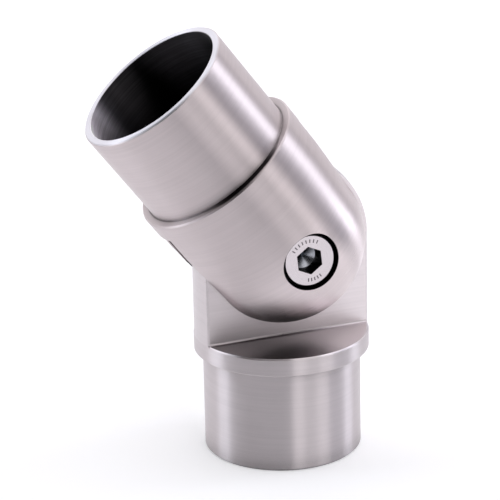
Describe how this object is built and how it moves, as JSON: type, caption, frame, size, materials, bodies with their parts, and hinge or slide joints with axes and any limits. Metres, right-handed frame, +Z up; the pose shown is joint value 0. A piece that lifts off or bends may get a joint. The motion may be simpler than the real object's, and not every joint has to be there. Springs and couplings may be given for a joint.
{
  "type": "pivoting handrail connector",
  "caption": "Pivoting handrail joint: two hollow spigots for round tube, hinged by a fork and tongue that a sunk socket screw clamps at any angle.",
  "frame": {"origin": "centre of the open end of the lower spigot, in the plane it stands on", "axes": "+Z up the lower spigot, +Y along the pivot away from the screw head, so -Y is the front; the upper half leans towards -X at rest"},
  "size_m": [0.0672, 0.0424, 0.1049],
  "materials": {
    "satin_body": "satin brushed stainless steel, grain round the axis",
    "plain_washer": "plain rolled stainless spring steel",
    "bright_screw": "bright cold-formed stainless steel"
  },
  "bodies": {
    "lower": {"lower_half": "satin_body"},
    "upper": {"upper_half": "satin_body"},
    "washer": {"lock_washer": "plain_washer"},
    "screw": {"pivot_screw": "bright_screw"}
  },
  "joints": [
    {"name": "knuckle_pivot", "type": "hinge", "parent": "lower", "child": "upper", "pos_m": [0, 0, 0.0525], "axis": [0, 1, 0], "range_deg": [-53, 127]},
    {"name": "washer_follow", "type": "slide", "parent": "upper", "child": "washer", "axis": [0, -1, 0], "range_m": [0, 0.00126]},
    {"name": "screw_turn", "type": "hinge", "parent": "washer", "child": "screw", "pos_m": [0, 0, 0.0525], "axis": [0, -1, 0], "range_deg": [0, 360]}
  ],
  "couplings": [
    {"joint": "washer_follow", "follows": "screw_turn", "m_per_rad": 0.00019894}
  ]
}
